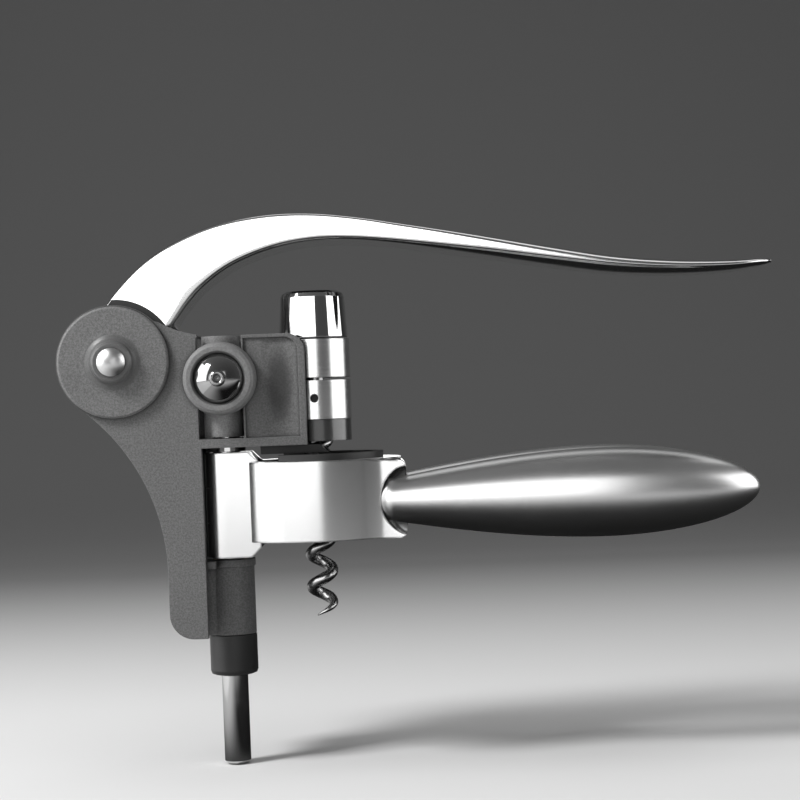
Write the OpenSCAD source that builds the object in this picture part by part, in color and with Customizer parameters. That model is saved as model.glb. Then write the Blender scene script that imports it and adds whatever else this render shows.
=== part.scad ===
// Lever corkscrew with a rack-and-pinion drive.
// The worm's axis is Z. Z = 0 is the plane of the jaws' top, where the bottle's mouth sits.
// The handles and the lever's grip point to +X, and the lever's pivot lies at -X.

/* [Bottle] */
// Outside diameter of the bottle's neck
neck_d = 29.2; // [28:0.1:30.5]

/* [Frame] */
// Width over the two side plates
frame_w = 24; // [23.6:0.2:28]
// Thickness of a side plate
plate_t = 2.5; // [2:0.1:3]
// Thickness of the shell's inner walls
wall_t = 1.6; // [1.4:0.1:2]
// Radius of the frame's rounded head
head_r = 14.6; // [14.6:0.1:16]
// Height of the frame's top edge
frame_top = 31.8; // [31:0.1:34]
// Height of the shelf's underside
shelf_z = 3.3; // [3:0.1:3.6]
// Thickness of the shelf
shelf_t = 2.3; // [2:0.1:2.6]
// Distance of the panels' front edge behind the worm's axis
panel_front = 2; // [1:0.1:4]
// Corner radius of the panels
panel_r = 4.5; // [2:0.1:6]
// Depth of the recess in the panels
panel_recess = 0.5; // [0.3:0.1:0.8]
// Width of the rim around the panels' recess
rim_w = 1.7; // [1:0.1:2.5]
// Distance of the leg's back behind the worm's axis
leg_back = 38.6; // [38.4:0.1:40]
// Depth of the leg's lower end
leg_bottom = 45; // [44:0.5:50]
// Corner radius at the leg's foot
foot_r = 6.3; // [3:0.1:7]
// Depth at which the leg's back curve turns straight
leg_straight = 28; // [24:1:34]
// Radius of the sweep from the head into the top edge
top_sweep_r = 30; // [20:1:40]

/* [Lever pivot] */
// Distance of the pivot behind the worm's axis
pivot_out = 50.5; // [50.5:0.1:52]
// Height of the pivot
pivot_up = 26; // [25:0.1:27]
// Diameter of the pivot pin
pivot_d = 6; // [5:0.1:6.6]
// Diameter of the pin's domed heads
pivot_head_d = 7.2; // [6.8:0.1:8]
// Radius of the round covers
cover_r = 14.2; // [13:0.1:14.4]
// Thickness of the round covers
cover_t = 1.6; // [1.2:0.1:2.4]
// Diameter of the covers' raised boss
boss_d = 10.4; // [9:0.1:12]
// Height of the covers' boss above the cover
boss_h = 3; // [2:0.1:4]

/* [Drive] */
// Module of the teeth
gear_module = 1.5; // [1.5:0.01:1.52]
// Teeth of the full gear circle
gear_teeth = 18; // [18:1:18]
// Width of the gear and the rack
gear_w = 9; // [7:0.5:9.5]
// Swing of the lever in degrees
lever_swing = 180; // [160:1:180]
// Gap between the flanks of meshed teeth
backlash = 0.16; // [0.12:0.01:0.24]

/* [Post] */
// Distance of the post's axis behind the worm's axis
post_out = 23.7; // [23.5:0.1:24.2]
// Diameter of the post
post_d = 7.2; // [7:0.1:7.4]
// Diameter of the post's thinner lower end
post_tip_d = 6.8; // [6.4:0.1:6.8]
// Depth of the post's lower end
post_bottom = 78.5; // [74:0.5:84]
// Outside diameter of the frame's lower tube
tube_d = 12.6; // [12:0.1:13.4]
// Length of the cap under the tube
end_cap_l = 10.3; // [9:0.1:12]

/* [Carriage] */
// Width of the carriage's upright across the slot
upright_w = 9.8; // [9.4:0.1:10.4]
// Width of the slots that the upright runs in
slot_w = 11.5; // [11.2:0.1:12]
// Height of the cross bolt
bolt_up = 20.9; // [20:0.1:22]
// Diameter of the cross bolt's shank
bolt_d = 4; // [3:0.1:4.4]
// Diameter of the cross bolt's domed heads
bolt_head_d = 12.4; // [11:0.1:12.8]
// Outside diameter of the guide collars
collar_d = 18.2; // [17:0.1:19]
// Height of the guide collars above the side plates
collar_h = 4.6; // [3:0.1:6]
// Outside diameter of the sleeve round the head
sleeve_d = 18.4; // [18:0.1:18.6]
// Height of the sleeve
sleeve_h = 9.9; // [9:0.1:10.4]
// Height of the top cap
cap_h = 12.2; // [11.4:0.1:15]
// Diameter at the top of the top cap
cap_top_d = 16.6; // [16:0.1:17.4]

/* [Worm and nut] */
// Outside diameter of the worm
worm_d = 8.4; // [8:0.1:8.8]
// Diameter of the worm's wire
wire_d = 3; // [2.6:0.1:3.2]
// Pitch of the worm
worm_pitch = 8.5; // [8:0.1:9]
// Depth of the worm's tip below the bottle's mouth
worm_depth = 41; // [40:0.5:44]
// Height of the nut housing's lower edge
housing_z = 9.6; // [9.4:0.1:10]
// Height of the nut housing
housing_h = 10; // [9.6:0.1:10.2]
// Height of the nut's flange
flange_h = 5.6; // [4:0.1:5.8]
// Diameter of the feed pins
feed_pin_d = 2.1; // [1.6:0.1:2.4]

/* [Jaws] */
// Height of the jaws' ring
ring_h = 20.2; // [18:0.1:22]
// Outside diameter of the jaws' ring
ring_d = 43; // [42.4:0.1:45]
// Thickness of the jaws' liners
liner_t = 2.4; // [2:0.1:2.8]
// Height of the hinge end
hinge_h = 27; // [25.5:0.1:27.2]
// Outside diameter of the hinge knuckles
knuckle_d = 11.4; // [11:0.1:11.6]
// Thickness of the arm outside the knuckles
arm_t = 2.3; // [2:0.1:2.6]
// Opening of each jaw in degrees
jaw_swing = 25; // [10:1:25]

/* [Handles] */
// Reach of the handles from the worm's axis
handle_reach = 112; // [100:1:125]
// Largest diameter of a handle
handle_d = 22.5; // [18:0.1:23]
// Distance of the thickest place from the worm's axis
handle_swell = 73; // [65:1:80]
// Diameter of a handle's root
root_d = 11; // [10.4:0.1:12]
// Distance of a handle's root from the worm's axis
root_out = 16; // [15.9:0.1:16.3]
// Sideways place of a handle's axis
root_side = 13.5; // [12.6:0.1:14]

/* [Lever] */
// Width of the lever's fork between the side plates
fork_w = 18.2; // [17.6:0.1:18.4]
// Width of the lever's grip
grip_w = 27; // [22:0.5:30]
// Radius of the fork's round cheeks
cheek_r = 10.5; // [9:0.1:11]

/* [Hidden] */
$fn = 96;

// Clearances
fit = 0.02;        // pieces fixed to each other
run = 0.07;        // a shaft turning or sliding in its hole
gap = 0.3;         // pieces that pass each other
lap = 0.5;         // how far joined shapes of one solid reach into each other
big = 200;         // longer than any piece, for cuts

// Frame
plate_y = frame_w/2;
inner_y = plate_y - plate_t;
pivot_x = -pivot_out;
post_x = -post_out;
post_r = post_d/2;
post_tip_r = post_tip_d/2;
shelf_top = shelf_z + shelf_t;
leg_front = post_out + knuckle_d/2 - 0.4;     // the plates stop behind the hinge knuckles
back_step = pivot_out - leg_back;
back_drop = pivot_up + leg_straight;
back_r = (back_step^2 + back_drop^2 - head_r^2)/(2*(head_r + back_step));
back_x = -leg_back - back_r;
tangent_a = atan2(-back_drop, back_x - pivot_x);
tangent_p = [pivot_x + head_r*cos(tangent_a), pivot_up + head_r*sin(tangent_a)];
sweep_z = frame_top + top_sweep_r;
sweep_x = pivot_x + sqrt((head_r + top_sweep_r)^2 - (sweep_z - pivot_up)^2);
slot_l = post_x - slot_w/2;
slot_r = post_x + slot_w/2;

// Drive
pitch_r = gear_module*gear_teeth/2;
pressure = 20;
addendum = 0.65*gear_module;
dedendum = 0.9*gear_module;
tooth_pitch = PI*gear_module;
base_r = pitch_r*cos(pressure);
tip_r = pitch_r + addendum;
gear_root_r = pitch_r - dedendum;
stroke = pitch_r*lever_swing*PI/180;
rack_x = pivot_x + pitch_r;                   // the rack's pitch line
rack_root_x = rack_x + dedendum;
rack_back_x = rack_root_x + 3.1;
rack_teeth = ceil(stroke/tooth_pitch) + 2;
rack_low = pivot_up - (rack_teeth - 1.5)*tooth_pitch - 4;
rack_top = frame_top - 0.5;
channel_x = rack_back_x + gap;                // front wall of the rack's channel

// Hinge of the jaws
hinge_top = shelf_z - 1.4;
hinge_low = hinge_top - hinge_h;
knuckle_r = knuckle_d/2;
knuckle_h = (hinge_h - 2*gap)/3;
arm_in = knuckle_r + 0.25;
arm_out = arm_in + arm_t;
tube_top = hinge_low - 0.6;
flange_t = 1.8;                               // flange on top of the lower tube
ring_top = -0.7;
ring_low = ring_top - ring_h;
neck_r = neck_d/2;
liner_r = neck_r + liner_t;
ring_r = ring_d/2;
ring_left = 17;                               // the ring's near end stops this far behind the worm's axis
jaw_gap = 1;                                  // from a jaw's end to the middle plane
handle_z = ring_top - 0.53*ring_h;

// Carriage and worm
upright_low = shelf_top + 0.4;
upright_y = inner_y + 1;
collar_y = plate_y + 0.15;
sleeve_z = housing_z + housing_h + 0.7;
sleeve_top = sleeve_z + sleeve_h;
sleeve_r = sleeve_d/2;
core_r = sleeve_r - 1.7;
arm_half = 5.5;
spigot_top = sleeve_top + 3.6;
cap_z = sleeve_top + 0.3;
shank_r = 2.4;
worm_r = worm_d/2;
wire_r = wire_d/2;
coil_r = worm_r - wire_r;
nut_bore_r = worm_r + 0.5;
nut_r = nut_bore_r + 1.4;
feed_pin_z = housing_z + 5.4;

// A flat shape drawn in X and Z, from y0 to y1
module slab(y0, y1) {
  translate([0, y1, 0]) rotate([90, 0, 0]) linear_extrude(y1 - y0) children();
}

// A round bar along Y, from y0 to y1
module bar_y(r, y0, y1, x = 0, z = 0) {
  translate([x, y1, z]) rotate([90, 0, 0]) cylinder(r = r, h = y1 - y0);
}

// A turned shape whose axis points to -Y, starting at y
module turned_y(y, x = 0, z = 0) {
  translate([x, y, z]) rotate([90, 0, 0]) rotate_extrude() children();
}

module box2(x0, z0, x1, z1) {
  translate([x0, z0]) square([x1 - x0, z1 - z0]);
}

// ---------- Frame ----------

module frame_outline() {
  difference() {
    union() {
      translate([pivot_x, pivot_up]) circle(r = head_r);
      polygon(concat(
        [[pivot_x, pivot_up], tangent_p, [tangent_p.x, -leg_straight], [-leg_back, -leg_straight]],
        [for (a = [180:7.5:270]) [-leg_back + foot_r*(1 + cos(a)), -leg_bottom + foot_r*(1 + sin(a))]],
        [[-leg_front, -leg_bottom], [-leg_front, pivot_up]]
      ));
      box2(pivot_x, shelf_z + 12, -panel_front - panel_r, frame_top);
      box2(-leg_front - lap, shelf_z, -panel_front, frame_top - panel_r);
      translate([-panel_front - panel_r, frame_top - panel_r]) circle(r = panel_r);
      polygon([[pivot_x, frame_top - lap], [sweep_x, frame_top - lap], [sweep_x, frame_top],
               [pivot_x + head_r*0.7, pivot_up + head_r*0.7]]);
    }
    translate([back_x, -leg_straight]) circle(r = back_r);
    translate([sweep_x, sweep_z]) circle(r = top_sweep_r);
  }
}

module panel_recess_shape() {
  r = panel_r - rim_w/2;
  right = -panel_front - rim_w;
  top = frame_top - rim_w/2;
  union() {
    box2(slot_r + lap, shelf_top, right, top - r);
    box2(slot_r + lap, shelf_top, right - r, top);
    translate([right - r, top - r]) circle(r = r);
  }
}

trough_x = -8.6;                              // shallow hollow down the middle of each panel
trough_r = 24;
trough_depth = 0.4;

screw_spots = [
  [(channel_x - leg_back)/2, -leg_bottom + foot_r],
  [slot_r + 3.6, shelf_top + 1.2],
  [pivot_x + 5.5, pivot_up - 20.6]
];
screw_r = 1.25;
screw_boss_r = 2.4;
screw_head_r = 2.3;
screw_sink = 1.6;

module frame_half() {
  pocket_top = housing_z + housing_h - 0.9;
  difference() {
    union() {
      slab(-plate_y, -inner_y) frame_outline();
      // walls of the leg, round the rack's channel
      slab(-inner_y - lap, 0) intersection() {
        frame_outline();
        difference() {
          box2(-leg_back - lap, -leg_bottom, channel_x + wall_t, shelf_z);
          box2(-leg_back + wall_t + 0.4, -leg_bottom + wall_t + 0.8, channel_x, shelf_z + 1);
          box2(-leg_back - 1, rack_low - 0.5, channel_x, shelf_z + 1);
        }
      }
      // rails beside the rack
      slab(-inner_y - lap, -gear_w/2 - gap) {
        box2(rack_root_x, rack_low + 4, channel_x + lap, shelf_z);
      }
      // shelf over the jaws' hinge
      slab(-inner_y - lap, 0) box2(channel_x, shelf_z, -panel_front - 4, shelf_top);
      // ribs that hold the nut housing
      slab(-inner_y - lap, -arm_half) {
        box2(slot_r + 1, pocket_top, -sleeve_r, pocket_top + 1.1);
        box2(slot_r + 1, housing_z - 1.4, -sleeve_r, housing_z - 0.1);
      }
      for (s = screw_spots) bar_y(screw_boss_r, -inner_y - lap, 0, s.x, s.y);
      // lower tube, with its web to the leg
      translate([post_x, 0, -leg_bottom]) cylinder(d = tube_d - 0.4, h = leg_bottom + tube_top);
      translate([channel_x, -tube_d/2 + 1.4, -leg_bottom]) {
        cube([post_x - channel_x, tube_d/2 - 1.4, leg_bottom + tube_top]);
      }
      // flange on top of the tube
      translate([post_x, 0, tube_top - flange_t]) cylinder(d = tube_d + 0.4, h = flange_t);
      translate([channel_x, -inner_y - lap, tube_top - flange_t]) {
        cube([post_x - 3 - channel_x, inner_y + lap, flange_t]);
      }
    }
    translate([-big/2, 0, -big/2]) cube(big);
    // slot for the carriage's upright
    slab(-plate_y - 1, -inner_y + 1) box2(slot_l, shelf_top, slot_r, frame_top + 5);
    // recessed panel
    slab(-plate_y - 1, -plate_y + panel_recess) panel_recess_shape();
    intersection() {
      slab(-plate_y - 1, -inner_y) panel_recess_shape();
      translate([trough_x, -plate_y + panel_recess + trough_depth - trough_r, shelf_z]) {
        cylinder(r = trough_r, h = frame_top - shelf_z);
      }
    }
    // pivot, post and bush
    bar_y(pivot_d/2 + fit, -plate_y - 1, 1, pivot_x, pivot_up);
    translate([post_x, 0, shelf_z - 1]) cylinder(r = post_r + run, h = shelf_t + 2);
    translate([post_x, 0, -leg_bottom - 1]) cylinder(r = post_r + 1.1 + fit, h = leg_bottom + tube_top + 2);
    // room for the nut's flange
    translate([0, 0, shelf_z - 1]) cylinder(r = sleeve_r + 0.15, h = frame_top);
  }
}

module frame_near() {
  color("dimgray") difference() {
    frame_half();
    for (s = screw_spots) bar_y(screw_r - 0.2, -inner_y + 1, 1, s.x, s.y);
  }
}

module frame_far() {
  color("dimgray") difference() {
    mirror([0, 1, 0]) frame_half();
    for (s = screw_spots) {
      bar_y(screw_r + 0.1, -1, plate_y + 1, s.x, s.y);
      bar_y(screw_head_r + 0.2, plate_y - screw_sink, plate_y + 1, s.x, s.y);
    }
  }
}

module frame_screws() {
  color("silver") for (s = screw_spots) {
    difference() {
      union() {
        bar_y(screw_r - 0.2 - fit, -inner_y + 1.5, plate_y - screw_sink + lap, s.x, s.y);
        bar_y(screw_head_r, plate_y - screw_sink, plate_y - 0.3, s.x, s.y);
      }
      slab(plate_y - 0.9, plate_y) translate([s.x, s.y]) {
        square([2.6, 0.5], center = true);
        square([0.5, 2.6], center = true);
      }
    }
  }
}

// ---------- Lever pivot ----------

module pivot_cover_shape() {
  bore = pivot_d/2 + fit;
  boss_r = boss_d/2;
  polygon([
    [bore, 0], [cover_r, 0], [cover_r, cover_t - 0.5], [cover_r - 0.5, cover_t],
    [boss_r + 3.2, cover_t], [boss_r + 1.9, cover_t + 0.15], [boss_r + 0.9, cover_t + 0.6],
    [boss_r + 0.3, cover_t + 1.3],
    [boss_r, cover_t + boss_h - 0.6], [boss_r - 0.6, cover_t + boss_h], [bore, cover_t + boss_h]
  ]);
}

module pivot_cover_near() {
  color("dimgray") turned_y(-plate_y, pivot_x, pivot_up) pivot_cover_shape();
}

module pivot_cover_far() {
  color("dimgray") mirror([0, 1, 0]) turned_y(-plate_y, pivot_x, pivot_up) pivot_cover_shape();
}

pin_seat = plate_y + cover_t + boss_h;

// A dome of radius r and height h on its flat side, as half a profile
module dome_profile(r, h) {
  intersection() {
    translate([0, h - (r^2 + h^2)/(2*h)]) circle(r = (r^2 + h^2)/(2*h));
    square([r, h]);
  }
}

module pivot_head() {
  turned_y(-pin_seat, pivot_x, pivot_up) {
    square([pivot_head_d/2, 0.4]);
    translate([0, 0.4]) dome_profile(pivot_head_d/2, 1.5);
  }
}

tail_r = 1.8;                                 // the pin's thin end, pressed into the far head

module pivot_pin() {
  color("silver") union() {
    bar_y(pivot_d/2, -pin_seat - 0.2, pin_seat - 0.1, pivot_x, pivot_up);
    bar_y(tail_r, 0, pin_seat + 1, pivot_x, pivot_up);
    pivot_head();
  }
}

module pivot_rivet_head() {
  color("silver") difference() {
    mirror([0, 1, 0]) pivot_head();
    bar_y(tail_r + fit, 0, pin_seat + 1.1, pivot_x, pivot_up);
  }
}

// ---------- Post, bush and caps ----------

bush_low = -leg_bottom + 5.8;

module post_bush() {
  color("goldenrod") translate([post_x, 0, bush_low]) difference() {
    cylinder(r = post_r + 1.1, h = tube_top - bush_low - 0.2);
    translate([0, 0, -1]) cylinder(r = post_r + run, h = big);
  }
}

module end_cap() {
  r = tube_d/2 - 0.15;
  spigot_r = post_r + 1.1;
  color("dimgray") translate([post_x, 0, -leg_bottom - 0.2 - end_cap_l]) rotate_extrude() polygon([
    [post_r + run, 0], [r - 1.1, 0], [r - 0.3, 0.3], [r, 1.1], [r, end_cap_l],
    [spigot_r, end_cap_l], [spigot_r, end_cap_l + 5.6], [post_r + run, end_cap_l + 5.6]
  ]);
}

module guide_post() {
  top = bolt_up + 8.5;
  tip_top = -leg_bottom - end_cap_l - 0.4;    // the thin end starts just under the end cap
  color("lightgray") translate([post_x, 0, 0]) difference() {
    rotate_extrude() polygon([
      [0, -post_bottom], [post_tip_r - 0.6, -post_bottom], [post_tip_r, -post_bottom + 0.6],
      [post_tip_r, tip_top - 0.1], [post_r, tip_top + 0.1], [post_r, top], [0, top]
    ]);
    bar_y(bolt_d/2 + fit, -post_d, post_d, 0, bolt_up);
  }
}

module hinge_washer() {
  color("silver") translate([post_x, 0, hinge_top + 0.2]) difference() {
    cylinder(r = post_r + 1.5, h = shelf_z - hinge_top - 0.2);
    translate([0, 0, -1]) cylinder(r = post_r + run, h = big);
  }
}

// ---------- Nut ----------

stop_front = 3;
stop_back = 5;

module mouth_stop() {
  z0 = 0.9 + gap;
  z1 = shelf_z;
  color("black") difference() {
    slab(-inner_y + 0.2, inner_y - 0.2) polygon([
      [-sleeve_r - stop_back, z0], [stop_front, z0], [stop_front - 2.2, z1], [-sleeve_r - stop_back, z1]
    ]);
    translate([0, 0, z0 - 1]) cylinder(r = nut_bore_r, h = big);
    translate([0, -nut_bore_r*0.9, z0 - 1]) cube([big, nut_bore_r*1.8, big]);
  }
}

module nut_housing() {
  lug_top = housing_z + housing_h - 1;
  lug_front = 8;
  color("silver") difference() {
    union() {
      translate([0, 0, housing_z]) cylinder(r = sleeve_r, h = housing_h);
      translate([slot_r + 1, -inner_y + 0.4, housing_z]) {
        cube([-slot_r - lug_front, 2*inner_y - 0.8, lug_top - housing_z]);
      }
    }
    translate([0, 0, housing_z - 1]) cylinder(r = nut_r + fit, h = housing_h + 2);
    bar_y(feed_pin_d/2 + fit, -sleeve_r - 1, 0, 0, feed_pin_z);
    bar_y(feed_pin_d/2 + fit, 0, sleeve_r + 1, 0, feed_pin_z - worm_pitch/2);
  }
}

module feed_nut() {
  flange_z = housing_z - flange_h;
  color("black") difference() {
    union() {
      translate([0, 0, flange_z]) cylinder(r = sleeve_r - 0.2, h = flange_h - 0.1);
      translate([0, 0, flange_z]) cylinder(r = nut_r, h = flange_h + housing_h - 0.3);
    }
    translate([0, 0, flange_z - 1]) cylinder(r = nut_bore_r, h = big);
    bar_y(feed_pin_d/2 + fit, -sleeve_r, 0, 0, feed_pin_z);
    bar_y(feed_pin_d/2 + fit, 0, sleeve_r, 0, feed_pin_z - worm_pitch/2);
  }
}

module feed_pins() {
  tip = coil_r + 0.4;
  head = sleeve_r - 2.2;                      // sunk in the housing's holes
  color("silver") {
    bar_y(feed_pin_d/2, -head, -tip, 0, feed_pin_z);
    bar_y(feed_pin_d/2, tip, head, 0, feed_pin_z - worm_pitch/2);
  }
}

// ---------- Lever ----------

// Stations along the lever, from the pivot: x, z, thickness, share of the grip's width, squareness
stations = [
  [4.1, 8.4, 17.2, 0.67, 9],
  [7.2, 12.6, 17.0, 0.67, 9],
  [13.1, 19.3, 15.6, 0.69, 8],
  [20.1, 24.6, 13.4, 0.76, 7.5],
  [29.0, 28.95, 11.1, 0.82, 7.5],
  [40.2, 31.75, 8.8, 0.88, 7.5],
  [51.0, 32.6, 7.0, 0.92, 7.5],
  [62.0, 31.9, 5.8, 0.95, 7],
  [75.5, 29.9, 5.1, 0.97, 5],
  [94.0, 26.7, 5.0, 1.0, 3.2],
  [112.5, 23.3, 4.8, 1.0, 2.5],
  [128.0, 20.75, 4.5, 0.98, 2.3],
  [143.0, 19.4, 3.85, 0.92, 2.3],
  [157.0, 19.15, 3.0, 0.78, 2.4],
  [166.0, 19.75, 2.2, 0.56, 2.4],
  [169.3, 20.05, 1.3, 0.30, 2.4]
];
steps = 3;                                    // sections to a station
section_n = 20;                               // points round a section

function mix4(a, b, c, d, t) =
  0.5*(2*b + (c - a)*t + (2*a - 5*b + 4*c - d)*t^2 + (3*b - a - 3*c + d)*t^3);
function clamp_i(i) = min(max(i, 0), len(stations) - 1);
function along(i, t) =
  mix4(stations[clamp_i(i - 1)], stations[clamp_i(i)], stations[clamp_i(i + 1)], stations[clamp_i(i + 2)], t);
lever_rows = concat(
  [for (i = [0:len(stations) - 2]) for (k = [0:steps - 1]) along(i, k/steps)],
  [stations[len(stations) - 1]]
);
function heading(i) =
  let (a = lever_rows[max(i - 1, 0)], b = lever_rows[min(i + 1, len(lever_rows) - 1)])
  atan2(b.y - a.y, b.x - a.x);
function rounded(v, e) = sign(v)*pow(abs(v), 2/e);
function section(i) =
  let (s = lever_rows[i], h = heading(i), half = max(s[3]*grip_w/2, 0.5))
  [for (k = [0:section_n - 1])
    let (a = 360*(k + 0.5)/section_n,
         y = half*rounded(cos(a), s[4]),
         t = s[2]/2*rounded(sin(a), s[4]))
    [s.x - t*sin(h), y, s.y + t*cos(h)]];

module lever_loft() {
  n = len(lever_rows);
  points = [for (i = [0:n - 1]) each section(i)];
  sides = [for (i = [0:n - 2]) for (k = [0:section_n - 1])
    let (j = (k + 1)%section_n)
    each [[i*section_n + k, (i + 1)*section_n + j, i*section_n + j],
          [i*section_n + k, (i + 1)*section_n + k, (i + 1)*section_n + j]]];
  ends = [
    [for (k = [0:section_n - 1]) k],
    [for (k = [section_n - 1:-1:0]) (n - 1)*section_n + k]
  ];
  polyhedron(points, concat(sides, ends));
}

fork_step = 0.5;                              // depth of the step on the fork's sides
cheek_y = fork_w/2 - fork_step + 0.2;         // the step's cut trims the cheeks too
rivet_r = 1.5;
rivet_spots = [for (a = [150, 330]) [pivot_x + 7.2*cos(a), pivot_up + 7.2*sin(a)]];

module lever_arm() {
  color("silver") difference() {
    union() {
      translate([pivot_x, 0, pivot_up]) lever_loft();
      bar_y(cheek_r, -cheek_y, cheek_y, pivot_x, pivot_up);
    }
    // room for the gear between the cheeks
    bar_y(tip_r + 0.5, -gear_w/2 - gap/2, gear_w/2 + gap/2, pivot_x, pivot_up);
    // step round the frame's head
    for (s = [-1, 1]) translate([pivot_x, s*(fork_w/2 - fork_step + 5), pivot_up]) rotate([90, 0, 0]) {
      cylinder(r = head_r + 1.5, h = 10, center = true);
    }
    bar_y(pivot_d/2 + run, -fork_w, fork_w, pivot_x, pivot_up);
    for (p = rivet_spots) bar_y(rivet_r + fit, -fork_w, fork_w, p.x, p.y);
  }
}

// Involute angle at radius r
function unwind(r) = let (c = min(1, base_r/r)) tan(acos(c))*180/PI - acos(c);
// Half the angle of a tooth at radius r
function half_tooth(r) =
  (90 - backlash/2/pitch_r*180/PI*gear_teeth/2)/gear_teeth + unwind(pitch_r) - unwind(max(r, base_r));
flank_radii = [for (k = [0:4]) base_r + (tip_r - base_r)*k/4];
first_tooth = -ceil(lever_swing*gear_teeth/360) - 1;

module gear_tooth() {
  inside = gear_root_r - 0.5;
  polygon(concat(
    [[inside*cos(half_tooth(base_r)), -inside*sin(half_tooth(base_r))]],
    [for (r = flank_radii) [r*cos(half_tooth(r)), -r*sin(half_tooth(r))]],
    [for (k = [4:-1:0]) let (r = flank_radii[k]) [r*cos(half_tooth(r)), r*sin(half_tooth(r))]],
    [[inside*cos(half_tooth(base_r)), inside*sin(half_tooth(base_r))]]
  ));
}

module drive_gear() {
  color("gray") difference() {
    slab(-gear_w/2, gear_w/2) translate([pivot_x, pivot_up]) {
      circle(r = gear_root_r);
      for (k = [first_tooth:1]) rotate(k*360/gear_teeth) gear_tooth();
    }
    bar_y(pivot_d/2 + run, -gear_w, gear_w, pivot_x, pivot_up);
    for (p = rivet_spots) bar_y(rivet_r + fit, -gear_w, gear_w, p.x, p.y);
  }
}

module gear_rivets() {
  color("silver") for (p = rivet_spots) {
    bar_y(rivet_r, -fork_w/2 + fork_step, fork_w/2 - fork_step, p.x, p.y);
  }
}

// ---------- Carriage ----------

tenon_l = 3;                                  // the rack's tenon in the carriage
tenon_w = 5;
tenon_h = 5.4;
tenon_z = bolt_up + 3;
rack_pin_r = 1;

module carriage() {
  color("dimgray") difference() {
    union() {
      // upright with rounded front and back, filling the slots
      for (s = [-1, 1]) translate([post_x, s*(upright_y - upright_w/2), upright_low]) {
        cylinder(d = upright_w, h = frame_top - upright_low);
      }
      translate([post_x - upright_w/2, -upright_y + upright_w/2, upright_low]) {
        cube([upright_w, 2*upright_y - upright_w, frame_top - upright_low]);
      }
      // seat of the rack
      translate([rack_back_x + fit, -gear_w/2, bolt_up + 1]) {
        cube([post_x - rack_back_x, gear_w, rack_top - bolt_up - 1]);
      }
      // bosses that carry the guide collars
      bar_y(upright_w/2, -plate_y - 1, plate_y + 1, post_x, bolt_up);
      // arm to the worm's head
      translate([post_x, -arm_half, sleeve_z + 0.3]) cube([post_out, 2*arm_half, sleeve_h - 0.3]);
      translate([0, 0, sleeve_z]) cylinder(r = core_r, h = sleeve_h);
      translate([0, 0, sleeve_top - lap]) cylinder(r = core_r - 0.6, h = spigot_top - sleeve_top + lap);
    }
    translate([post_x, 0, upright_low - 1]) cylinder(r = post_r + fit, h = bolt_up + 9.5 - upright_low);
    bar_y(bolt_d/2 + fit, -big/2, big/2, post_x, bolt_up);
    translate([0, 0, sleeve_z - 1]) cylinder(r = shank_r + 1.6 + fit, h = spigot_top);
    // mortise of the rack's tenon
    translate([rack_back_x - 1, -tenon_w/2 - fit, tenon_z]) {
      cube([tenon_l + 1 + fit, tenon_w + 2*fit, tenon_h + fit]);
    }
    bar_y(rack_pin_r + fit, -big/2, big/2, rack_back_x + tenon_l/2, tenon_z + tenon_h/2);
  }
}

module rack_bar() {
  half = tooth_pitch/4 - backlash/4;
  slope = tan(pressure);
  color("gray") difference() {
    union() {
      slab(-gear_w/2, gear_w/2) {
        box2(rack_root_x, rack_low, rack_back_x, rack_top);
        for (k = [0:rack_teeth - 1]) translate([rack_x, pivot_up + (0.5 - k)*tooth_pitch]) polygon([
          [-addendum, half - addendum*slope], [dedendum + lap, half + dedendum*slope],
          [dedendum + lap, -half - dedendum*slope], [-addendum, -half + addendum*slope]
        ]);
      }
      translate([rack_back_x - lap, -tenon_w/2, tenon_z + fit]) cube([tenon_l + lap, tenon_w, tenon_h - fit]);
    }
    bar_y(rack_pin_r + fit, -big/2, big/2, rack_back_x + tenon_l/2, tenon_z + tenon_h/2);
  }
}

module rack_pin() {
  color("silver") bar_y(rack_pin_r, -gear_w/2, gear_w/2, rack_back_x + tenon_l/2, tenon_z + tenon_h/2);
}

bolt_seat = collar_y + 3.3;
bolt_rim = 0.6;                               // height of a head's straight rim
bolt_dome = 3.2;                              // height of a head's dome
socket_r = 1.25;
socket_depth = 1.8;

// A domed head with a lipped round socket
module bolt_head_profile() {
  head_h = bolt_rim + bolt_dome;
  difference() {
    union() {
      square([bolt_head_d/2, bolt_rim]);
      translate([0, bolt_rim]) dome_profile(bolt_head_d/2, bolt_dome);
      polygon([[0, bolt_rim], [socket_r + 1.1, bolt_rim], [socket_r + 0.7, head_h + 0.15], [0, head_h + 0.15]]);
    }
    translate([0, head_h - socket_depth]) square([socket_r, socket_depth + 1]);
  }
}

module cross_bolt() {
  color("lightgray") union() {
    bar_y(bolt_d/2, -bolt_seat - bolt_rim, bolt_seat + 1.6, post_x, bolt_up);
    turned_y(-bolt_seat, post_x, bolt_up) bolt_head_profile();
  }
}

module bolt_cap_nut() {
  color("lightgray") difference() {
    mirror([0, 1, 0]) turned_y(-bolt_seat, post_x, bolt_up) {
      square([bolt_head_d/2, bolt_rim]);
      translate([0, bolt_rim]) dome_profile(bolt_head_d/2, bolt_dome);
    }
    bar_y(bolt_d/2 + fit, 0, bolt_seat + 1.8, post_x, bolt_up);
  }
}

// A dished plastic collar on the boss, with the bolt's head sunk in it
module collar_shape() {
  r = collar_d/2;
  bore = upright_w/2 + fit;
  seat = bolt_seat - collar_y;
  head = bolt_head_d/2 + 0.2;
  polygon([
    [bolt_d/2 + fit, 0.95], [bore, 0.95], [bore, 0], [r + 0.3, 0], [r, 0.8], [r - 0.2, collar_h - 0.8],
    [r - 1, collar_h], [head + 0.6, collar_h], [head, collar_h - 0.8], [head, seat], [bolt_d/2 + fit, seat]
  ]);
}

module guide_collar_near() {
  color("dimgray") turned_y(-collar_y, post_x, bolt_up) collar_shape();
}

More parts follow.
